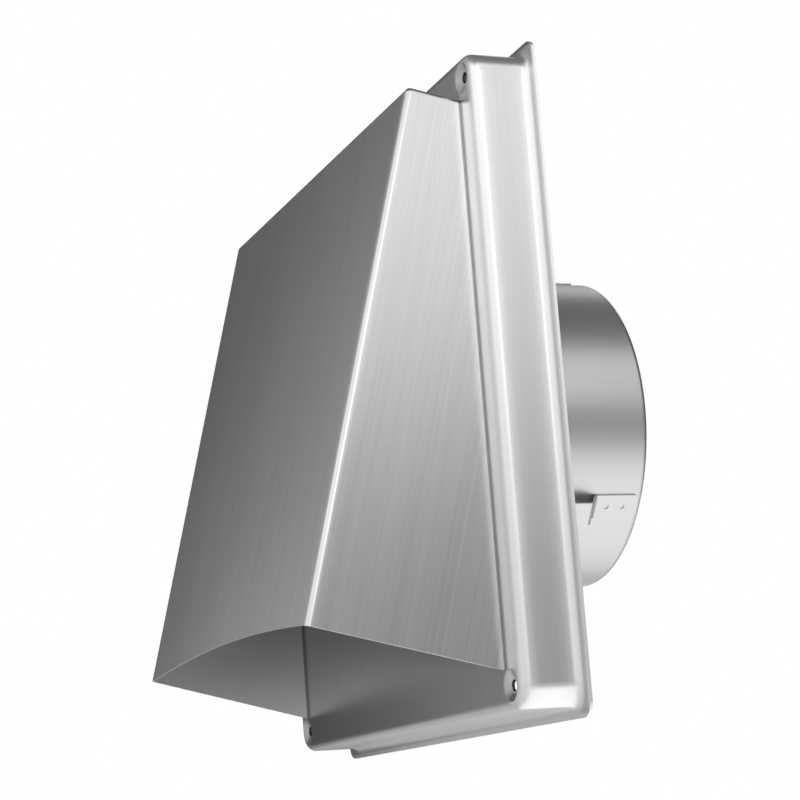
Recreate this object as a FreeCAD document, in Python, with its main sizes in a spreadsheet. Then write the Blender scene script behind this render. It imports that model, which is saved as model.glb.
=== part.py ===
"""Square wall vent cap in sheet steel: drawn wall plate, folded rain hood, duct spigot and spring clips.

Millimetres. X runs to the right as one faces the wall, Y runs into the wall and Z runs up. The origin is on the
duct's axis at the wall's surface, so plate and hood stand at negative Y and most of the spigot at positive Y.
The plate and the hood are drawn about the plate's centre and then raised to it.
"""
import FreeCAD, Part
import math
import os
import re

import Sketcher

Vector = FreeCAD.Vector

doc = FreeCAD.newDocument("wall_vent_cap")

# Driving sizes
SIZES = [
    ("plate_size", 238.0, "side of the square plate, across its drawn walls"),
    ("plate_depth", 24.8, "how far the plate's face stands off the wall"),
    ("plate_metal", 1.0, "sheet of the plate"),
    ("corner_round", 8.5, "corners of the plate, seen from the front"),
    ("face_round", 4.0, "rounded front edge of the plate"),
    ("lip_wide", 4.0, "how far the lip turns out past the plate's walls"),
    ("lip_round", 3.2, "hollow curve from the wall into the lip"),
    ("lip_corner", 5.5, "corners of the lip"),
    ("screw_inset", 8.5, "screw holes, in from the plate's walls"),
    ("screw_bore", 4.0, "screw holes across"),
    ("dish_wide", 11.6, "dished screw seat across its rim"),
    ("dish_seat", 5.4, "flat floor of the screw seat across"),
    ("dish_depth", 1.6, "depth of the screw seat"),
    ("dish_round", 1.5, "curve from the plate's face into the screw seat"),
    ("hood_metal", 1.0, "sheet of the hood"),
    ("hood_inset", 10.8, "side panels, in from the plate's walls"),
    ("head_inset", 16.0, "top panel at the plate, down from the plate's upper wall"),
    ("foot_inset", 14.0, "side panels' lower corner at the plate, up from the plate's lower wall"),
    ("head_reach", 19.6, "how far the hood stands out at its top"),
    ("head_rise", 4.6, "rise of the top panel towards its front"),
    ("foot_reach", 70.6, "how far the hood stands out at its mouth"),
    ("foot_rise", 18.7, "rise of the side panels' lower edges towards the front"),
    ("side_lean", 4.0, "degrees by which each side panel leans inward towards the front"),
    ("fold_round", 2.0, "outside of every fold in the hood"),
    ("arch_rise", 4.4, "rise of the arch in the front panel's lower edge"),
    ("spigot_size", 125.0, "outside of the spigot, for a nominal 125 duct"),
    ("spigot_metal", 0.8, "sheet of the spigot"),
    ("spigot_reach", 64.2, "how far the spigot stands behind the wall's surface"),
    ("spigot_flange", 9.0, "flange that is welded behind the plate's face"),
    ("spigot_bend", 1.5, "hollow curve from the spigot into its flange"),
    ("rim_round", 1.6, "curve into the spigot's rear edge"),
    ("rim_turn", 2.4, "how far the rear edge is turned in"),
    ("duct_drop", 0.8, "duct axis below the plate's centre"),
    ("clip_count", 3.0, "spring clips round the spigot"),
    ("clip_angle", 37.0, "degrees of the first clip below level, on the right"),
    ("clip_wide", 9.6, "strip of a clip across"),
    ("clip_metal", 0.8, "sheet of a clip"),
    ("clip_lift", 6.5, "how far the arm stands off the spigot"),
    ("clip_slope", 60.0, "degrees of the step between tab and arm"),
    ("clip_bend", 2.6, "middle of the sheet at both bends of the step"),
    ("tab_gap", 2.2, "tab, in from the spigot's rear end"),
    ("tab_long", 17.2, "welded tab of a clip"),
    ("tab_corner", 2.0, "corners at both ends of a clip"),
    ("arm_gap", 8.0, "end of the arm behind the wall's surface"),
    ("weld_wide", 2.2, "spot weld across"),
    ("weld_deep", 0.3, "dent of a spot weld"),
    ("weld_inset", 6.5, "rear spot weld from the tab's rear end"),
    ("weld_pitch", 6.8, "from one spot weld to the other"),
]

sizes = doc.addObject("Spreadsheet::Sheet", "sizes")
for row, (name, size, note) in enumerate(SIZES, start=1):
    sizes.set(f"A{row}", name)
    sizes.set(f"B{row}", str(size))
    sizes.set(f"C{row}", note)
    sizes.setAlias(f"B{row}", name)
doc.recompute()

WORDS = re.compile(r"\b(" + "|".join(name for name, _, _ in SIZES) + r")\b")


def formula(text):
    """A formula in the sheet's words, with each word led back to its cell."""
    return WORDS.sub(r"sizes.\1", text)


def bind(item, path, text):
    """Tie one property to a formula in the sheet's words."""
    item.setExpression(path, formula(text))


def value(text):
    """The present value of a formula, in millimetres or degrees."""
    result = sizes.evalExpression(formula(text))
    return float(getattr(result, "Value", result))


# Places that several pieces share, as formulas
FACE = "(-plate_depth)"
FACE_BACK = "(plate_metal - plate_depth)"
HALF_PLATE = "(plate_size / 2)"
HALF_LIP = "(plate_size / 2 + lip_wide)"
HALF_HOLLOW = "(plate_size / 2 - plate_metal)"
SCREW_OUT = "(plate_size / 2 - screw_inset)"
HALF_HOOD = "(plate_size / 2 - hood_inset)"
HEAD_BACK = "(plate_size / 2 - head_inset)"
FOOT_BACK = "(foot_inset - plate_size / 2)"
MOUTH_LOW = "(foot_inset - plate_size / 2 + foot_rise)"
MOUTH_OUT = "(-plate_depth - foot_reach)"
SPIGOT_OUT = "(spigot_size / 2)"
BORE = "(spigot_size / 2 - spigot_metal)"
SPARE = "2"
NEAR = 0.01


# Sketching
def new_body(label):
    body = doc.addObject("PartDesign::Body", label)
    body.Label = label
    return body


def origin_item(body, role):
    """One of the body's own origin planes or axes."""
    return next(item for item in body.Origin.OriginFeatures if item.Role == role)


def new_sketch(body, label, plane, **offset):
    """An empty sketch on an origin plane. It may be moved in the plane by x and off the plane by z."""
    sketch = body.newObject("Sketcher::SketchObject", label)
    sketch.AttachmentSupport = [(origin_item(body, plane), "")]
    sketch.MapMode = "FlatFace"
    for axis, text in offset.items():
        bind(sketch, f"AttachmentOffset.Base.{axis}", text)
    return sketch


def dimension(sketch, text, kind, *target):
    """One dimension of a sketch, tied to its formula."""
    index = sketch.addConstraint(Sketcher.Constraint(kind, *target, value(text)))
    bind(sketch, f"Constraints[{index}]", text)


def fix_point(sketch, edge, end, across, up):
    """Hold one point of an edge, measured from the sketch's origin."""
    dimension(sketch, across, "DistanceX", -1, 1, edge, end)
    dimension(sketch, up, "DistanceY", -1, 1, edge, end)


def arc_between(start, stop, radius):
    """The shorter arc from start to stop, counter-clockwise, so its centre is to the left of the way."""
    chord = stop - start
    inward = Vector(-chord.y, chord.x, 0).normalize()
    centre = (start + stop) * 0.5 + inward * math.sqrt(radius ** 2 - (chord.Length / 2) ** 2)
    return Part.Arc(start, centre - inward * radius, stop)


def draw(sketch, *points):
    """A closed outline from point to point, each given by two formulas. Where an arc starts, the point
    also has the side of the way on which the arc's centre lies, and its radius.
    """
    spots = [Vector(value(point[0]), value(point[1]), 0) for point in points]
    edges = []
    for point, start, stop in zip(points, spots, spots[1:] + spots[:1]):
        side = point[2] if point[2:] else "straight"
        if side == "straight":
            edge = sketch.addGeometry(Part.LineSegment(start, stop))
        elif side == "left":
            edge = sketch.addGeometry(arc_between(start, stop, value(point[3])))
        else:
            edge = sketch.addGeometry(arc_between(stop, start, value(point[3])))
        edges.append((edge, 2, 1) if side == "right" else (edge, 1, 2))
    for (edge, _, last), (after, first, _) in zip(edges, edges[1:] + edges[:1]):
        sketch.addConstraint(Sketcher.Constraint("Coincident", edge, last, after, first))
    for point, (edge, first, _) in zip(points, edges):
        fix_point(sketch, edge, first, point[0], point[1])
        if point[2:]:
            dimension(sketch, point[3], "Radius", edge)


def draw_square(sketch, half, corner):
    """A square with rounded corners, centred on the sketch's origin and given by half its side."""
    flat = f"({half} - {corner})"
    draw(sketch, (f"-{flat}", f"-{half}"), (flat, f"-{half}", "left", corner), (half, f"-{flat}"),
         (half, flat, "left", corner), (flat, half), (f"-{flat}", half, "left", corner),
         (f"-{half}", flat), (f"-{half}", f"-{flat}", "left", corner))


def draw_circle(sketch, across, up, radius):
    centre = Vector(value(across), value(up), 0)
    edge = sketch.addGeometry(Part.Circle(centre, Vector(0, 0, 1), value(radius)))
    dimension(sketch, radius, "Radius", edge)
    fix_point(sketch, edge, 3, across, up)


# Features
def add(body, kind, label, profile, **settings):
    """A feature made from a sketch. Lengths and angles are formulas, and a cut must remove metal."""
    before = body.Shape.Volume if body.Tip else 0
    item = body.newObject(f"PartDesign::{kind}", label)
    item.Profile = profile
    for name, setting in settings.items():
        if name in ("Length", "Angle"):
            bind(item, name, setting)
        else:
            setattr(item, name, setting)
    doc.recompute()
    if kind in ("Pocket", "Groove") and body.Shape.Volume > before - NEAR:
        raise RuntimeError(f"{label} removes nothing from {body.Label}")
    return item


def fillet(body, label, rule, radius):
    """Round the edges of the body, as it stands, whose boxes satisfy the rule."""
    base = body.Tip
    names = [f"Edge{index}" for index, edge in enumerate(base.Shape.Edges, start=1) if rule(edge.BoundBox)]
    if not names:
        raise RuntimeError(f"{label} finds no edge on {body.Label}")
    item = body.newObject("PartDesign::Fillet", label)
    item.Base = (base, names)
    bind(item, "Radius", radius)
    doc.recompute()
    return item


def near(number, text):
    return abs(number - value(text)) < NEAR


def outermost(box):
    """How far an edge reaches from the Y axis, along X or Z."""
    return max(abs(number) for number in (box.XMin, box.XMax, box.ZMin, box.ZMax))


def edges_at(depth, limit):
    """A rule for edges that lie at one Y and within a limit from the Y axis."""
    return lambda box: box.YLength < NEAR and near(box.YMin, depth) and outermost(box) < value(limit) + NEAR


# Wall plate: one drawn sheet with four dished screw seats
def make_plate():
    body = new_body("wall_plate")
    bind(body, "Placement.Base.z", "duct_drop")
    draw_sheet(body)
    round_sheet(body)
    add_screw_seats(body)
    opening = new_sketch(body, "duct_opening_outline", "XZ_Plane")
    draw_circle(opening, "0", "-duct_drop", BORE)
    body.Tip = add(body, "Pocket", "duct_opening", opening, Length="plate_depth", Reversed=True)


def draw_sheet(body):
    """Face, walls and lip in sheet metal, still with sharp edges."""
    outline = new_sketch(body, "plate_outline", "XZ_Plane")
    draw_square(outline, HALF_PLATE, "corner_round")
    add(body, "Pad", "face_and_walls", outline, Length="plate_depth")
    lip = new_sketch(body, "lip_outline", "XZ_Plane")
    draw_square(lip, HALF_LIP, "lip_corner")
    add(body, "Pad", "lip", lip, Length="plate_metal")
    hollow = new_sketch(body, "hollow_outline", "XZ_Plane")
    draw_square(hollow, HALF_HOLLOW, "(corner_round - plate_metal)")
    add(body, "Pocket", "hollow", hollow, Length="plate_depth - plate_metal", Reversed=True)


def round_sheet(body):
    """Both bends, each with its hollow side first and then its outside."""
    fillet(body, "face_bend_inside", edges_at(FACE_BACK, HALF_HOLLOW), "face_round - plate_metal")
    fillet(body, "face_bend", edges_at(FACE, HALF_PLATE), "face_round")
    fillet(body, "lip_bend_inside", edges_at("-plate_metal", HALF_PLATE), "lip_round")
    fillet(body, "lip_bend", edges_at("0", HALF_HOLLOW), "lip_round + plate_metal")


def add_screw_seats(body):
    """A pressed dish and its screw hole, repeated in the four corners."""
    slope = "atan(2 * dish_depth / (dish_wide - dish_seat))"
    grow = f"plate_metal * tan({slope} / 2)"
    tangent = f"dish_round * tan({slope} / 2)"
    mid_sheet = "plate_metal / 2 - plate_depth"
    floor = "dish_depth - plate_depth"
    floor_back = f"{floor} + plate_metal"
    behind = new_sketch(body, "dish_back_outline", "XY_Plane", x=SCREW_OUT, z=SCREW_OUT)
    draw(behind, ("0", mid_sheet), ("0", floor_back), (f"dish_seat / 2 + {grow}", floor_back),
         (f"dish_wide / 2 + {grow}", FACE_BACK), (f"dish_wide / 2 + {grow}", mid_sheet))
    back = add(body, "Revolution", "dish_back", behind, ReferenceAxis=(behind, ["V_Axis"]), Angle="360")
    front = new_sketch(body, "dish_outline", "XY_Plane", x=SCREW_OUT, z=SCREW_OUT)
    draw(front, ("0", f"{FACE} - {SPARE}"), ("0", f"{floor_back} + {SPARE}"),
         ("screw_bore / 2", f"{floor_back} + {SPARE}"), ("screw_bore / 2", floor), ("dish_seat / 2", floor),
         (f"dish_wide / 2 - {tangent} * cos({slope})", f"{FACE} + {tangent} * sin({slope})", "right", "dish_round"),
         (f"dish_wide / 2 + {tangent}", FACE), (f"dish_wide / 2 + {tangent}", f"{FACE} - {SPARE}"))
    dish = add(body, "Groove", "dish", front, ReferenceAxis=(front, ["V_Axis"]), Angle="360")
    pattern = body.newObject("PartDesign::PolarPattern", "four_dishes")
    pattern.Originals = [back, dish]
    pattern.Axis = (origin_item(body, "Y_Axis"), [""])
    pattern.Angle = 360
    pattern.Occurrences = 4
    body.Tip = pattern
    doc.recompute()


# Rain hood: one folded sheet, open underneath and welded to the plate by its rear edges
def make_hood():
    body = new_body("hood")
    bind(body, "Placement.Base.z", "duct_drop")
    shape_block(body)
    fold_sheet(body)
    cut_arch(body)


def shape_block(body):
    """The room that the hood encloses: its side outline, narrowed towards the front."""
    side = new_sketch(body, "side_outline", "YZ_Plane")
    draw(side, (FACE, FOOT_BACK), (MOUTH_OUT, MOUTH_LOW),
         ("-plate_depth - head_reach", f"{HEAD_BACK} + head_rise"), (FACE, HEAD_BACK))
    add(body, "Pad", "hood_block", side, Length=f"2 * {HALF_HOOD}", SideType="Symmetric")
    lean = f"({HALF_HOOD} - (foot_reach + {SPARE}) * tan(side_lean))"
    front = f"{MOUTH_OUT} - {SPARE}"
    outside = f"({HALF_HOOD} + {SPARE})"
    wedges = new_sketch(body, "lean_outline", "XY_Plane")
    draw(wedges, (HALF_HOOD, FACE), (lean, front), (outside, front), (outside, FACE))
    draw(wedges, (f"-{HALF_HOOD}", FACE), (f"-{lean}", front), (f"-{outside}", front), (f"-{outside}", FACE))
    add(body, "Pocket", "side_lean", wedges, Length="2 * plate_size", SideType="Symmetric")


def fold_sheet(body):
    """Sheet metal on every side of the block but the underside and the back, with rounded folds."""
    block = body.Tip
    outer = [edge.BoundBox for edge in block.Shape.Edges]
    sheet = body.newObject("PartDesign::Thickness", "hood_sheet")
    sheet.Base = (block, [f"Face{index}" for index, face in enumerate(block.Shape.Faces, start=1)
                          if is_open(face.BoundBox)])
    sheet.Join = "Intersection"
    sheet.Reversed = True
    bind(sheet, "Value", "hood_metal")
    doc.recompute()
    fillet(body, "folds_inside", lambda box: not is_open(box) and not matches(box, outer),
           "fold_round - hood_metal")
    fillet(body, "folds", lambda box: not is_open(box) and matches(box, outer), "fold_round")


def is_open(box):
    """Whether a face or an edge belongs to the open underside or lies along the plate."""
    below_mouth = box.ZMax < value(MOUTH_LOW) + NEAR
    along_plate = box.YLength < NEAR and near(box.YMin, FACE)
    return below_mouth or along_plate


def matches(box, others):
    """Whether a box has the same two ends as one of the others."""
    return any(box.getPoint(0).distanceToPoint(other.getPoint(0)) < NEAR
               and box.getPoint(6).distanceToPoint(other.getPoint(6)) < NEAR for other in others)


def cut_arch(body):
    """The shallow arch in the front panel's lower edge."""
    half = f"({HALF_HOOD} - foot_reach * tan(side_lean) - fold_round)"
    radius = f"({half} * {half} + arch_rise * arch_rise) / (2 * arch_rise)"
    low = f"{MOUTH_LOW} - {SPARE}"
    outline = new_sketch(body, "arch_outline", "XZ_Plane", z=f"-{MOUTH_OUT} + {SPARE}")
    draw(outline, (f"-{half}", low), (half, low), (half, MOUTH_LOW, "left", radius), (f"-{half}", MOUTH_LOW))
    body.Tip = add(body, "Pocket", "arch", outline, Length="hood_metal + arch_rise + 2")


# Spigot: a rolled tube, flanged behind the plate's face and turned in at its rear end
def make_spigot():
    body = new_body("duct_spigot")
    bend_in = f"{FACE_BACK} + spigot_metal + spigot_bend"
    bend_out = f"{SPIGOT_OUT} + spigot_bend"
    flange_back = f"{FACE_BACK} + spigot_metal"
    flange_out = f"{SPIGOT_OUT} + spigot_flange"
    rim_start = "spigot_reach - rim_round"
    rim_in = f"{SPIGOT_OUT} - rim_round"
    lip_in = f"{SPIGOT_OUT} - rim_turn"
    lip_front = "spigot_reach - spigot_metal"
    section = new_sketch(body, "spigot_section", "XY_Plane")
    draw(section, (BORE, bend_in, "left", "spigot_bend + spigot_metal"), (bend_out, FACE_BACK),
         (flange_out, FACE_BACK), (flange_out, flange_back), (bend_out, flange_back, "right", "spigot_bend"),
         (SPIGOT_OUT, bend_in), (SPIGOT_OUT, rim_start, "left", "rim_round"), (rim_in, "spigot_reach"),
         (lip_in, "spigot_reach"), (lip_in, lip_front), (rim_in, lip_front, "right", "rim_round - spigot_metal"),
         (BORE, rim_start))
    body.Tip = add(body, "Revolution", "spigot_tube", section, ReferenceAxis=(section, ["V_Axis"]), Angle="360")


# Spring clips: strips welded to the rear of the spigot, stepped outward, with a free arm towards the plate
TAB_IN = "(spigot_size / 2 - clip_wide * clip_wide / (4 * spigot_size))"
TAB_REAR = "(spigot_reach - tab_gap)"
TAB_FRONT = "(spigot_reach - tab_gap - tab_long)"
WELD_REAR = "(spigot_reach - tab_gap - weld_inset)"


def make_clip(number):
    body = new_body(f"spring_clip_{number + 1}")
    body.Placement = FreeCAD.Placement(Vector(), FreeCAD.Rotation(Vector(0, 1, 0), 10))
    bind(body, "Placement.Rotation.Angle", f"clip_angle + {number} * 360 / clip_count")
    bend_strip(body)
    fit_to_tube = new_sketch(body, "tube_outline", "XZ_Plane")
    draw_circle(fit_to_tube, "0", "0", SPIGOT_OUT)
    add(body, "Pocket", "fit_to_tube", fit_to_tube, Length="2 * spigot_reach", SideType="Symmetric")
    fillet(body, "strip_corners", is_strip_corner, "tab_corner")
    welds = new_sketch(body, "weld_outlines", "YZ_Plane", z=f"{TAB_IN} + clip_metal")
    draw_circle(welds, WELD_REAR, "0", "weld_wide / 2")
    draw_circle(welds, f"{WELD_REAR} - weld_pitch", "0", "weld_wide / 2")
    body.Tip = add(body, "Pocket", "spot_welds", welds, Length="weld_deep")


def bend_strip(body):
    """The strip from its tab to its arm, with the two bends of the step."""
    cos, sin = "cos(clip_slope)", "sin(clip_slope)"
    tight, wide = "(clip_bend - clip_metal / 2)", "(clip_bend + clip_metal / 2)"
    run = f"(2 * clip_bend * {sin} + (clip_lift - 2 * clip_bend * (1 - {cos})) / tan(clip_slope))"
    rear_centre = f"({TAB_IN} + clip_metal / 2 + clip_bend)"
    front_centre = f"({TAB_IN} + clip_metal / 2 + clip_lift - clip_bend)"
    step_front = f"({TAB_FRONT} - {run})"
    section = new_sketch(body, "strip_section", "XY_Plane")
    draw(section,
         (f"{TAB_IN} + clip_metal", TAB_REAR),
         (f"{TAB_IN} + clip_metal", TAB_FRONT, "left", tight),
         (f"{rear_centre} - {tight} * {cos}", f"{TAB_FRONT} - {tight} * {sin}"),
         (f"{front_centre} + {wide} * {cos}", f"{step_front} + {wide} * {sin}", "right", wide),
         (f"{front_centre} + {wide}", step_front),
         (f"{front_centre} + {wide}", "arm_gap"),
         (f"{front_centre} + {tight}", "arm_gap"),
         (f"{front_centre} + {tight}", step_front, "left", tight),
         (f"{front_centre} + {tight} * {cos}", f"{step_front} + {tight} * {sin}"),
         (f"{rear_centre} - {wide} * {cos}", f"{TAB_FRONT} - {wide} * {sin}", "right", wide),
         (TAB_IN, TAB_FRONT),
         (TAB_IN, TAB_REAR))
    add(body, "Pad", "strip", section, Length="clip_wide", SideType="Symmetric")


def is_strip_corner(box):
    """The short edges through the sheet at the two ends of the strip."""
    through_sheet = box.YLength < NEAR and box.ZLength < NEAR and box.XLength > NEAR
    return through_sheet and (near(box.YMin, TAB_REAR) or near(box.YMin, "arm_gap"))


# Building and writing out
def check_and_write():
    """Stop at anything that failed, then write each piece in its place."""
    for item in doc.Objects:
        shape = getattr(item, "Shape", None)
        if "Invalid" in item.State or "Error" in item.State:
            raise RuntimeError(f"{item.Label} did not build")
        if shape is not None and (shape.isNull() or not shape.isValid()):
            raise RuntimeError(f"{item.Label} has no sound shape")
    os.makedirs("parts", exist_ok=True)
    for body in doc.findObjects("PartDesign::Body"):
        if len(body.Shape.Solids) != 1:
            raise RuntimeError(f"{body.Label} is not one solid")
        body.Shape.exportStep(f"parts/{body.Label}.step")
        print(f"{body.Label}: {body.Shape.Volume / 1000:.2f} cm3")


make_plate()
make_hood()
make_spigot()
for clip in range(3):
    make_clip(clip)
doc.recompute()
check_and_write()
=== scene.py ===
# %% [markdown]
# # A brushed steel wall vent cap
#
# This vent cap is sheet metal from end to end: a drawn plate that stands against the wall, a folded rain hood, a
# rolled spigot for the duct and a few spring clips. Its forms come finished from the CAD frame, so the lesson is
# about what makes bare steel look real: the direction of its grain, how its bends were polished by the tools, and
# the soft light that it mirrors.

# %% Load the frame
from math import cos, radians, sin

import bpy
from mathutils import Matrix, Vector


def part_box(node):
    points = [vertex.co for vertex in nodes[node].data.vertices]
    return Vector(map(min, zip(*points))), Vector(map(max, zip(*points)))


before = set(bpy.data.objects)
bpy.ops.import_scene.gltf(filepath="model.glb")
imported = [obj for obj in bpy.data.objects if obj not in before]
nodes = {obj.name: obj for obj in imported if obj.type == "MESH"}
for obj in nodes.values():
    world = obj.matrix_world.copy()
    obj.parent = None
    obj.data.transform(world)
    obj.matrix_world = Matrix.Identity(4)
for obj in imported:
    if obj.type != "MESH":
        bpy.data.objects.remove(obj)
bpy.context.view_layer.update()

print("steel parts:", ", ".join(sorted(nodes)))

# %% [markdown]
# ## A small language for materials
#
# A material that is only a colour looks like plastic. Real steel varies everywhere a little, and those variations
# are sums and products of a few noises and masks. Wiring dozens of Math nodes by hand hides that arithmetic, so one
# small class lets Python's own operators add the nodes, and one method adds every other kind of node.


# %% Numbers that vary over a surface
class Varying:
    """A socket in a material. Arithmetic on it adds Math nodes to the same material."""

    def __init__(self, finish, socket):
        self.finish = finish
        self.socket = socket

    def _math(self, operation, *numbers):
        return self.finish.add("ShaderNodeMath", {"operation": operation}, *numbers)

    def __add__(self, other):
        return self._math("ADD", self, other)

    def __radd__(self, other):
        return self._math("ADD", other, self)

    def __sub__(self, other):
        return self._math("SUBTRACT", self, other)

    def __rsub__(self, other):
        return self._math("SUBTRACT", other, self)

    def __mul__(self, other):
        return self._math("MULTIPLY", self, other)

    def __rmul__(self, other):
        return self._math("MULTIPLY", other, self)

    def __truediv__(self, other):
        return self._math("DIVIDE", self, other)

    def __rtruediv__(self, other):
        return self._math("DIVIDE", other, self)

    def __neg__(self):
        return self._math("MULTIPLY", self, -1)

    def __abs__(self):
        return self._math("ABSOLUTE", self)

    def __pow__(self, other):
        return self._math("POWER", self, other)

    def __rpow__(self, other):
        return self._math("POWER", other, self)

    def at_most(self, other):
        return self._math("MINIMUM", self, other)

    def at_least(self, other):
        return self._math("MAXIMUM", self, other)


print("arithmetic on sockets ready")


# %% Finishes
class Finish:
    """One finish, with the Principled shader that its variations feed. It is metal unless told otherwise."""

    def __init__(self, name, metallic=1.0):
        self.material = bpy.data.materials.new(name)
        self.material.use_nodes = True
        self.tree = self.material.node_tree
        self.shader = self.tree.nodes["Principled BSDF"]
        self.shader.inputs["Metallic"].default_value = metallic

    def add(self, kind, settings=None, *values, output=0, **named):
        """A node of any kind. Its settings come first, then its sockets, in order or by name."""
        node = self.tree.nodes.new(kind)
        for name, setting in (settings or {}).items():
            setattr(node, name, setting)
        for target, value in [*enumerate(values), *named.items()]:
            self.feed(node, target, value)
        return Varying(self, node.outputs[output])

    def feed(self, node, target, value):
        """A link for what varies, and the socket's own value for what doesn't."""
        socket = node.inputs[target.replace("_", " ") if isinstance(target, str) else target]
        if isinstance(value, Varying):
            self.tree.links.new(value.socket, socket)
        else:
            socket.default_value = value

    def parts_of(self, vector):
        """The X, Y and Z of a vector as three numbers."""
        split = self.add("ShaderNodeSeparateXYZ", None, vector).socket.node
        return [Varying(self, socket) for socket in split.outputs]

    def place(self):
        """Where on the object a point is, in metres."""
        return self.add("ShaderNodeTexCoord", output="Object")

    def facing(self):
        """The way that the surface faces, in the object's own axes."""
        return self.add("ShaderNodeTexCoord", output="Normal")

    def ramp(self, value, low, high):
        """0 below low, 1 above high and a smooth rise between them."""
        settings = {"interpolation_type": "SMOOTHSTEP", "clamp": True}
        return self.add("ShaderNodeMapRange", settings, value, low, high)

    def noise(self, place, size, stretch=(1, 1, 1), turn=(0, 0, 0), detail=3.0, roughness=0.55):
        """Noise from 0 to 1 with features of a size in metres, longer along an axis by its stretch."""
        scale = [size * factor for factor in stretch]
        turned = self.add("ShaderNodeMapping", {"vector_type": "TEXTURE"}, place, Rotation=turn, Scale=scale)
        return self.add("ShaderNodeTexNoise", {"noise_dimensions": "3D"}, Vector=turned, Scale=1.0,
                        Detail=detail, Roughness=roughness)


print("finishes ready")

# %% [markdown]
# ## Brushed steel
#
# A mill polishes sheet steel with belts of grit, and each grit scratches one long straight line. Such lines could
# all go into the relief, but then a render needs very many samples before they show, and a denoiser smears them. So
# their shade goes into the colour, as the groove's own little shadow, and the roughness and a relief of a few
# thousandths of a millimetre follow it. Three widths are added up: single scratches, the bundles that a clogged belt
# leaves, and the broad stripes of a worn one. Over them lies a slow cloudiness, because no sheet is rolled evenly.


# %% The finish that all pieces share
STEEL_GREY = 0.62
BLUISH = 1.004         # steel's blue against its red and green
SCRATCH = 0.0005       # one scratch across, in metres
BUNDLE = 0.0011        # a bundle of scratches across
STRIPE = 0.0040        # a stripe of the belt across
ALONG = 0.08           # how long a scratch runs
CLOUD = 0.08           # a cloudy patch across
GROOVE = 0.000004      # how deep the scratches are


def brushed(finish, place, turn, grain=1.0, rough=0.30, polish=0.0, relief=0.0, tone_and_painted_light=1.0, **under):
    """Wires a steel whose scratches run along the turned Z axis. Polish lowers the roughness, relief is a height
    in metres that is added to the scratches, and the colour is multiplied by a factor that holds real tone as well as
    painted shade and painted highlights. A Normal given here is the one under the relief.
    """
    scratches = finish.noise(place, SCRATCH, (1, 1, ALONG / SCRATCH), turn, detail=2.0, roughness=0.6)
    bundles = finish.noise(place, BUNDLE, (1, 1, 1.6 * ALONG / BUNDLE), turn, detail=2.0)
    stripes = finish.noise(place, STRIPE, (1, 1, 2 * ALONG / STRIPE), turn, detail=1.0)
    cloud = finish.noise(place, CLOUD, detail=2.0) - 0.5
    lines = ((scratches - 0.5) * 0.7 + (bundles - 0.5) * 0.8) * grain
    broad = (stripes - 0.5) * grain
    tone = (1 + lines * 0.50 + broad * 0.12 + cloud * 0.05) * tone_and_painted_light * STEEL_GREY
    colour = finish.add("ShaderNodeCombineColor", None, tone, tone, tone * BLUISH)
    finish.feed(finish.shader, "Base Color", colour)
    finish.feed(finish.shader, "Roughness", rough + lines * 0.04 + broad * 0.03 + cloud * 0.04 - polish)
    bump = finish.add("ShaderNodeBump", None, Strength=1.0, Distance=1.0, Height=lines * GROOVE + relief, **under)
    finish.feed(finish.shader, "Normal", bump)


print("scratches", SCRATCH * 1000, "mm across and", ALONG * 1000, "mm long")


# %% Dressing a part
def dress(finish, *names):
    """Gives a finish to the named steel parts."""
    for name in names:
        nodes[name].data.materials.clear()
        nodes[name].data.materials.append(finish.material)
    print(finish.material.name, "on", ", ".join(names), "with", len(finish.tree.nodes), "nodes")


print(len(nodes), "parts to dress")

# %% [markdown]
# ## The hood and its panels
#
# The rain hood was cut and folded from one brushed sheet. The picture shows how it lay on the mill's belt: the
# scratches on both visible panels run parallel to the sloping fold between them. That fold lies in the plane of the
# hood's sides, so a single turn of the noise about the X axis, by the slope of the front, serves every panel.
#
# A material can't ask which panel it is on, but it knows which way the surface faces. So each panel gets a mask, from
# the cosine between its own direction and the surface's. What belongs to no panel is a fold. The press brake's dies
# have burnished it smoother, and its colour is darkened as painted shade that dims the fold's highlight.

# %% The hood's panels
FRONT_LEAN = radians(14.75)    # slope of the front panel and of the sheet's scratches
PANEL = (0.95, 0.985)          # between these cosines a fold goes over into its panel

hood_steel = Finish("brushed_hood")
face_x, face_y, face_z = hood_steel.parts_of(hood_steel.facing())
on_front = hood_steel.ramp(face_y * -cos(FRONT_LEAN) + face_z * sin(FRONT_LEAN), *PANEL)
on_side = hood_steel.ramp(abs(face_x), *PANEL)
on_top = hood_steel.ramp(abs(face_z), *PANEL)
# A fold is polished smoother, and its colour is darkened as painted shade that dims its highlight.
burnished_and_shaded_fold = 1 - on_side.at_least(on_front).at_least(on_top)
print("masks for the front, the sides, the top and the folds between them")

# %% [markdown]
# ## Folds that catch the light
#
# A fold takes a little of the panel beside it along. That is too shallow for the CAD, but bare steel shows it: the
# highlight on a fold is wider than the fold and has a soft edge. A relief does this without moving anything. Its
# height falls towards the bend, with a full slope at the bend's start that fades away in less than a millimetre.


# %% Near a bend
NATURAL = 2.718                # the base of a fading away, near enough


def crowned(past, slope, reach):
    """Height of a panel near a bend. Past is how far a point lies from the bend's start, negative inside the bend.
    The slope is full at the start and fades over the reach.
    """
    fading = NATURAL ** (past.at_least(0) * (-1 / reach)) * (slope * reach)
    return fading + (-past).at_least(0) * slope


print("a crown fades to", round(100 / NATURAL), "percent over its reach")

# %% The hood's folds
SIDE_LEAN = radians(4.0)       # lean of each side panel
FOLD = 0.002                   # outer radius of a fold
FOLD_CROWN = (0.12, 0.0008)    # slope and reach of the crown beside a fold
MOUTH = (-0.0954, -0.0855)     # the front panel's lower end, as Y and Z

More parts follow.
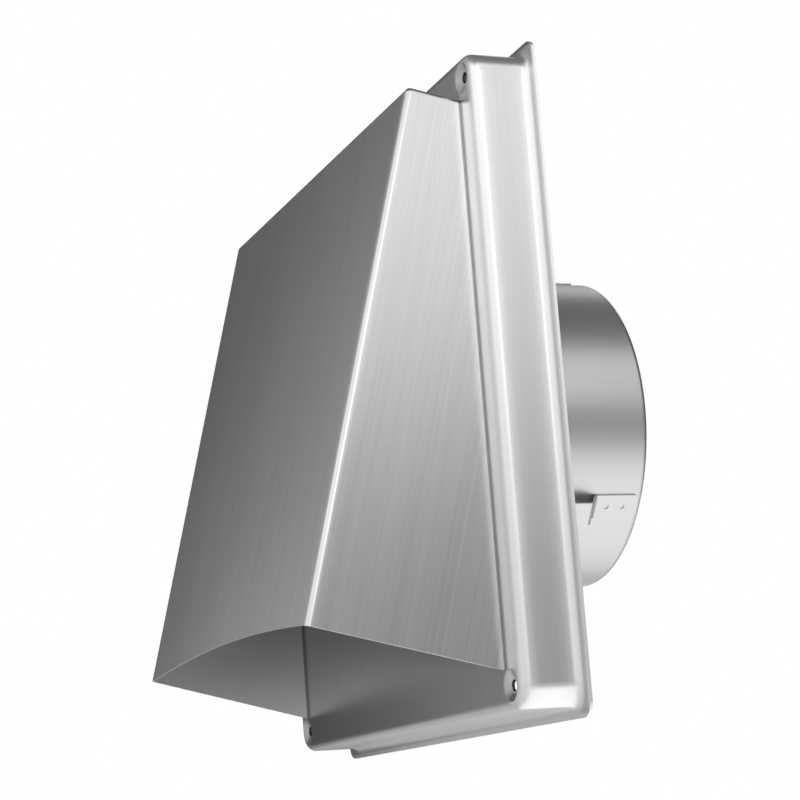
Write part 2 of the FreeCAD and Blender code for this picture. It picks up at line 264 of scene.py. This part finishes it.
hood_low, hood_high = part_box("hood")
across, deep, up = hood_steel.parts_of(hood_steel.place())
front_out = sin(FRONT_LEAN) * MOUTH[1] - cos(FRONT_LEAN) * MOUTH[0]
behind_front = front_out - (up * sin(FRONT_LEAN) - deep * cos(FRONT_LEAN))
inside_side = (hood_high[0] - abs(across)) * cos(SIDE_LEAN) + (deep - hood_high[1]) * sin(SIDE_LEAN)
relief = -crowned(behind_front - FOLD, *FOLD_CROWN) - crowned(inside_side - FOLD, *FOLD_CROWN)
print("the front panel's plane passes", round(front_out * 1000, 1), "mm from the spigot's axis at the wall")

# %% [markdown]
# ## Seam, cut edges and inner side
#
# Three more places on the hood differ from the brushed panels. In the seam against the plate the colour is darkened
# as painted shade. The sheared edges at the mouth are brightened as a painted highlight. And only the sheet's outer
# side was brushed: the inner one keeps the mill's plain and brighter surface. Each gets a mask as well, from where
# the point is or which way it faces.

# %% Seam, edges and inner side
SEAM = (0.0010, 0.0005)        # the seam's painted shade begins and is full this far from the plate
DOWN = (0.90, 0.95)            # between these cosines an edge faces down
LOWEST = (0.03, 0.02)          # a cut edge gets a painted highlight below these heights over the hood's lowest point
BACK = (0.90, 0.98)            # between these cosines a surface is the back of the front panel
INWARD = (0.02, 0.05)          # a side's facing times its distance from the middle, where it is the inner side

seam_painted_shade = hood_steel.ramp(hood_high[1] - deep, *SEAM)
cut_edge_painted_highlight = hood_steel.ramp(-face_z, *DOWN) * hood_steel.ramp(up, *[hood_low[2] + height for height in LOWEST])
back_of_front = hood_steel.ramp(face_y * cos(FRONT_LEAN) - face_z * sin(FRONT_LEAN), *BACK)
inner = hood_steel.ramp(-face_x * across, *INWARD).at_least(back_of_front)
print("the seam is", SEAM[0] * 1000, "mm wide")

# %% [markdown]
# ## The sheet unfolded
#
# The scratches are a solid noise, drawn out along their direction, and a surface that leans through such a noise cuts
# every line short. So the noise is read where the point would lie on the flat sheet. On the sides, which lean in a
# little, its X is held still, and on the top the place is turned down into the slope of the front.

# %% Hood steel
CUT = 0.0062                   # where in the belt's pattern this sheet was cut out

unfolded_across = across * (1 - on_side) + CUT
unfolded_deep = deep * (1 - on_top * (1 - sin(FRONT_LEAN)))
unfolded_up = up * (1 - on_top) + deep * on_top * cos(FRONT_LEAN)
unfolded = hood_steel.add("ShaderNodeCombineXYZ", None, unfolded_across, unfolded_deep, unfolded_up)
# The colour factor darkens the seam and the folds as painted shade, brightens the cut edges as a painted highlight,
# and gives the inner side its brighter plain tone.
brushed(hood_steel, unfolded, (-FRONT_LEAN, 0, 0), relief=relief,
        grain=0.55 + on_front * 0.2 - inner * 0.45, polish=burnished_and_shaded_fold * 0.04,
        tone_and_painted_light=(1 - seam_painted_shade * 0.6) * (1 + cut_edge_painted_highlight * 0.4) * (1 + inner * 0.45) * (1 - burnished_and_shaded_fold * 0.25))
dress(hood_steel, "hood")

# %% [markdown]
# ## The wall plate
#
# The plate was drawn in one stroke over a rounded punch. Drawing polishes the rounded edges and leaves the walls
# slightly crowned: a real wall never meets its rounding at an exact line, and a mirror-like surface shows that at
# once as a soft change of brightness. The CAD has flat walls and round edges with a sharp change between them. A
# shallow relief mends this: its height falls away towards the front rounding and rises towards the flare at the wall,
# each within a few millimetres. The lip's last two millimetres turn a little outward as well, where the trimming tool
# cut it. Nothing moves, only the light on it.

# %% The plate's bends
FACE_ROUND = 0.0040            # radius of the rounded front edge
FLARE = 0.0042                 # depth of the hollow curve from the wall into the lip
CROWN = (0.30, 0.0055)         # slope and reach of the crown beside a bend
TRIM = 0.00215                 # the lip turns outward this far from its edge
TRIM_CURVE = 0.00135           # over this length the turn grows
TRIM_GROWTH = 161              # the height in the growing part, over the square of the way
TRIM_SLOPE = 0.436             # the slope after it

plate_low, plate_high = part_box("wall_plate")
plate_middle = (plate_low[2] + plate_high[2]) / 2
print("plate from", [round(number, 4) for number in plate_low], "to", [round(number, 4) for number in plate_high])

plate_steel = Finish("drawn_plate")
across, deep, up = plate_steel.parts_of(plate_steel.place())
at_flare = crowned((plate_high[1] - FLARE) - deep, *CROWN)
at_face = crowned(deep - (plate_low[1] + FACE_ROUND), *CROWN)
out = abs(across).at_least(abs(up - plate_middle)) - (plate_high[0] - TRIM)
turning = out.at_least(0).at_most(TRIM_CURVE)
turned = (out - TRIM_CURVE).at_least(0)
relief = at_flare - at_face - turning * turning * TRIM_GROWTH - turned * TRIM_SLOPE

# %% [markdown]
# ## The plate's surface
#
# The plate's own brushing runs up and down, and it is finer than the hood's. Its flat face lay on the punch and came
# out smoother than the walls. Its colour is darker in the middle, as painted shade, and lighter in a strip along each
# side, as a painted highlight, and the corners get a painted highlight too. A screw hole traps the light between its
# walls, so the four bores are painted nearly black, as painted shade. As on the hood, the noise is read on the
# unfolded sheet, here for the top and the bottom wall.

# %% Screw bores
SCREW = 0.1105                 # how far the screw holes stand from the plate's middle
BORE = (0.0000050, 0.0000042)  # squares of the radii between which a bore's wall begins

hole_across = abs(across) - SCREW
hole_up = abs(up - plate_middle) - SCREW
bore_painted_shade = plate_steel.ramp(hole_across * hole_across + hole_up * hole_up, *BORE)
print("bores within", round(BORE[1] ** 0.5 * 1000, 2), "mm of their axes")

# %% Plate steel
FLAT = (0.85, 0.98)            # between these cosines the rounded edge goes over into the face
FRONT = (0.006, 0.004)         # the face lies less than this behind the plate's foremost point
END = (0.60, 0.80)             # between these cosines a surface belongs to the top or the bottom wall
STRIP = (0.1090, 0.1070)       # the face's brighter strip, a painted highlight, ends between these distances from the middle
CORNER = (0.05, 0.30)          # the product of both facings, between which a corner's painted highlight begins

face_x, face_y, face_z = plate_steel.parts_of(plate_steel.facing())
on_face = plate_steel.ramp(-face_y, *FLAT) * plate_steel.ramp(deep, *[plate_low[1] + depth for depth in FRONT])
on_end = plate_steel.ramp(abs(face_z), *END)
face_middle_shade = plate_steel.ramp(abs(across), *STRIP)
corner_painted_highlight = plate_steel.ramp(abs(face_x * face_z), *CORNER)
unfolded_up = up * (1 - on_end) + deep * on_end
unfolded = plate_steel.add("ShaderNodeCombineXYZ", None, across, deep * (1 - on_end), unfolded_up)
# The colour factor paints the bores nearly black and the face's middle darker as painted shade, and the face's side
# strips and the corners lighter as painted highlights.
brushed(plate_steel, unfolded, (0, 0, 0), grain=0.22, rough=0.34, polish=on_face * 0.05, relief=relief,
        tone_and_painted_light=(1 - bore_painted_shade * 0.93) * (1 + on_face * (0.15 - face_middle_shade * 0.50)) * (1 + corner_painted_highlight * 0.35))
dress(plate_steel, "wall_plate")

# %% [markdown]
# ## Spigot and clips
#
# The spigot was rolled from plainer sheet with a satin mill finish, and its rear edge was spun round over a roller
# that left it smooth; there its colour is darkened as painted shade. Its faint lines run along the tube, because the
# sheet was cut along its grain, so the noise is turned to lie along Y. The CAD mesh closes the tube with a seam at
# +X, where its normals miss each other by a degree or two, and a mirror shows that as a step. Turning each normal to
# point straight away from the tube's axis closes it. The clips are spring steel with the same satin surface, smooth
# in the bends, where their colour is darkened as painted shade.

# %% Spigot steel
ALONG_Y = (radians(90), 0, 0)  # turns the scratches from Z to Y
RIM = 0.0026                   # how long the spun rear edge is
SPUN = (0.1, 0.6)              # between these cosines the tube goes over into the spun edge

_, spigot_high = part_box("duct_spigot")
spigot_steel = Finish("satin_spigot")
face_x, face_y, face_z = spigot_steel.parts_of(spigot_steel.facing())
across, deep, up = spigot_steel.parts_of(spigot_steel.place())
radial = (face_x * across + face_z * up) / (across * across + up * up)
rounder = spigot_steel.add("ShaderNodeCombineXYZ", None, across * radial, face_y, up * radial)
at_rim = spigot_steel.ramp(deep, spigot_high[1] - RIM, spigot_high[1])
spun_rim_painted_shade = spigot_steel.ramp(face_y, *SPUN).at_least(at_rim)
# The spun rim is smoother, and its colour is darkened there as painted shade.
brushed(spigot_steel, spigot_steel.place(), ALONG_Y, grain=0.15, rough=0.38, polish=spun_rim_painted_shade * 0.10,
        tone_and_painted_light=1 - spun_rim_painted_shade * 0.6, Normal=rounder)
dress(spigot_steel, "duct_spigot")

# %% Clip steel
BEND = (0.1, 0.5)              # between these cosines the flat strip goes over into a bend
STRIP_END = (0.95, 0.8)        # and between these a bend is told from the strip's cut ends

clip_steel = Finish("spring_steel")
_, face_y, _ = clip_steel.parts_of(clip_steel.facing())
bends_smooth_and_shaded = clip_steel.ramp(abs(face_y), *BEND) * clip_steel.ramp(abs(face_y), *STRIP_END)
# The bends are smoother, and their colour is darkened as painted shade.
brushed(clip_steel, clip_steel.place(), ALONG_Y, grain=0.15, rough=0.34, polish=bends_smooth_and_shaded * 0.08, tone_and_painted_light=1 - bends_smooth_and_shaded * 0.4)
dress(clip_steel, *sorted(name for name in nodes if name.startswith("spring_clip")))

# %% [markdown]
# ## The studio
#
# Bare steel has hardly any colour of its own and shows its surroundings instead, so the studio is most of the look.
# A white room would turn the whole cap white. The photographer of such metal builds a small room of cards: a large
# softbox in front on the right, a second one at the side, and grey cards on the left, behind, above and low on the
# right. Each grey card then gives one dark or middle tone on the steel. All of them are out of the camera's sight.
#
# The floor is plain and pale. A glow of its own is added only for what the eye sees, so that it comes near the white
# of the background while the object's shadow still lies on it. What the steel mirrors gets less of that glow.


# %% Studio surfaces
def matt(name, grey):
    """The matt finish of a studio surface."""
    finish = Finish(name, metallic=0.0)
    finish.shader.inputs["Base Color"].default_value = (grey, grey, grey, 1)
    finish.shader.inputs["Roughness"].default_value = 0.9
    finish.shader.inputs["Specular IOR Level"].default_value = 0.0
    return finish


def glowing(name, brightness, fade):
    """A black card that glows. From its edge inwards the glow goes over from the room's white to its own."""
    finish = matt(name, 0.0)
    along, upward, _ = finish.parts_of(finish.add("ShaderNodeTexCoord", output="UV"))
    from_edge = along.at_most(1 - along).at_most(upward).at_most(1 - upward)
    finish.feed(finish.shader, "Emission Color", finish.ramp(from_edge, 0, fade) * (brightness - 1) + 1)
    finish.shader.inputs["Emission Strength"].default_value = 1.0
    return finish


print("matt and glowing surfaces ready")


# %% Floor
def card(name, centre, azimuth, tilt, width, height, finish):
    """A card centred at a place. Its face looks along an azimuth and is tilted up by some degrees."""
    level = cos(radians(tilt))
    face = Vector((cos(radians(azimuth)) * level, sin(radians(azimuth)) * level, sin(radians(tilt))))
    place = Matrix.Translation(centre) @ face.to_track_quat("Z", "Y").to_matrix().to_4x4()
    bpy.ops.mesh.primitive_plane_add(size=1)
    made = bpy.context.object
    made.name = name
    made.data.transform(place @ Matrix.Diagonal((width, height, 1, 1)))
    made.data.materials.append(finish.material)
    return made


FLOOR_LEVEL = -0.30
FLOOR_SIZE = 12
FLOOR_GLOW = 0.40      # what is added to the floor's brightness for the eye
IN_STEEL = 0.3         # the share of it that the steel mirrors

bpy.ops.object.select_all(action="DESELECT")
pale = matt("pale_floor", 0.8)
eye = pale.add("ShaderNodeLightPath", output="Is Camera Ray")
mirror = pale.add("ShaderNodeLightPath", output="Is Glossy Ray")
pale.feed(pale.shader, "Emission Color", eye.at_least(mirror * IN_STEEL))
pale.shader.inputs["Emission Strength"].default_value = FLOOR_GLOW
card("floor", (0, 0, FLOOR_LEVEL), 0, 90, FLOOR_SIZE, FLOOR_SIZE, pale)
print("floor at", FLOOR_LEVEL, "m")

# %% [markdown]
# ## Softboxes and grey cards
#
# A card's brightness is written as the steel should see it: 1 is the white of the room. Their places were found by
# following the mirror direction from each part of the object: the side panel and the plate's wall look at the side
# softbox, the front panel looks past the left edge of the picture at the left card, and the top of the spigot looks
# at the overhead card. A softbox fades towards its rim, as a real one does. The last card is a white reflector that
# lies on the floor for the underside of the spigot, and only the steel sees it.

# %% Cards
SOFT_RIM = 0.3         # a softbox fades over this share of its width
HARD_RIM = 0.01        # and a grey card over this

CARDS = [
    # name, centre, azimuth, tilt, width, height, brightness
    ("key_softbox", (0.700, -1.150, 0.809), 123.6, -30.4, 2.80, 1.50, 1.80),
    ("side_softbox", (1.460, 0.200, 0.620), 189.6, -26.5, 1.16, 0.70, 1.40),
    ("fill_softbox", (1.500, -0.520, 0.590), 162.0, -20.0, 1.00, 0.74, 3.30),
    ("left_card", (-0.292, 0.002, 0.250), 0, 0, 0.350, 0.87, 0.11),
    ("far_left_card", (-0.292, -0.512, 0.250), 0, 0, 0.678, 0.87, 0.48),
    ("left_wall", (-1.500, -0.097, 0.707), 0, 0, 2.75, 1.30, 0.30),
    ("rear_wall", (0.430, 1.400, 0.454), -90, 0, 3.13, 1.47, 0.28),
    ("low_card", (1.370, 0.450, -0.020), 198.0, 0, 1.50, 0.54, 0.22),
    ("overhead_card", (0.093, 0.574, 0.880), 0, -90, 1.07, 2.91, 0.15),
    ("floor_reflector", (0.240, 0.260, -0.290), 0, 90, 0.90, 0.80, 1.26),
]
for name, centre, azimuth, tilt, width, height, brightness in CARDS:
    rim = SOFT_RIM if brightness > 1 else HARD_RIM
    made = card(name, centre, azimuth, tilt, width, height, glowing(name, brightness, rim))
    made.visible_camera = False
reflector = bpy.data.objects["floor_reflector"]
reflector.visible_diffuse = False
reflector.visible_shadow = False
print(len(CARDS), "cards")

# %% [markdown]
# ## Background and camera
#
# The room around the cards is plain white at a strength of 1. The camera stands to the right of the cap and a little
# below it, and it looks up under the hood. Its place, turn and focal length were found by fitting the silhouette of
# the plate, the hood and the spigot to the photograph, so the perspective is that of the photograph as well.

# %% World
world = bpy.data.worlds.new("white_room")
bpy.context.scene.world = world
world.use_nodes = True
world.node_tree.nodes["Background"].inputs["Color"].default_value = (1, 1, 1, 1)
world.node_tree.nodes["Background"].inputs["Strength"].default_value = 1.0
print("room strength 1")

# %% Camera
EYE = (0.798508, -0.331770, -0.159053)
FORWARD = Vector((-0.910606, 0.362558, 0.198362))
UPWARD = Vector((0.210939, -0.005003, 0.977486))
LENS = 97.688          # in millimetres
SENSOR = 36
NEAREST = 0.01         # nothing closer than this is drawn, in metres

camera_data = bpy.data.cameras.new("camera")
camera = bpy.data.objects.new("camera", camera_data)
bpy.context.scene.collection.objects.link(camera)
pose = Matrix((FORWARD.cross(UPWARD), UPWARD, -FORWARD)).transposed().to_4x4()
pose.translation = EYE
camera.matrix_world = pose
camera_data.sensor_width = SENSOR
camera_data.lens = LENS
camera_data.clip_start = NEAREST
bpy.context.scene.camera = camera
bpy.context.scene.view_settings.view_transform = "Standard"
print("camera", round(pose.translation.length, 3), "m from the spigot's axis at the wall")
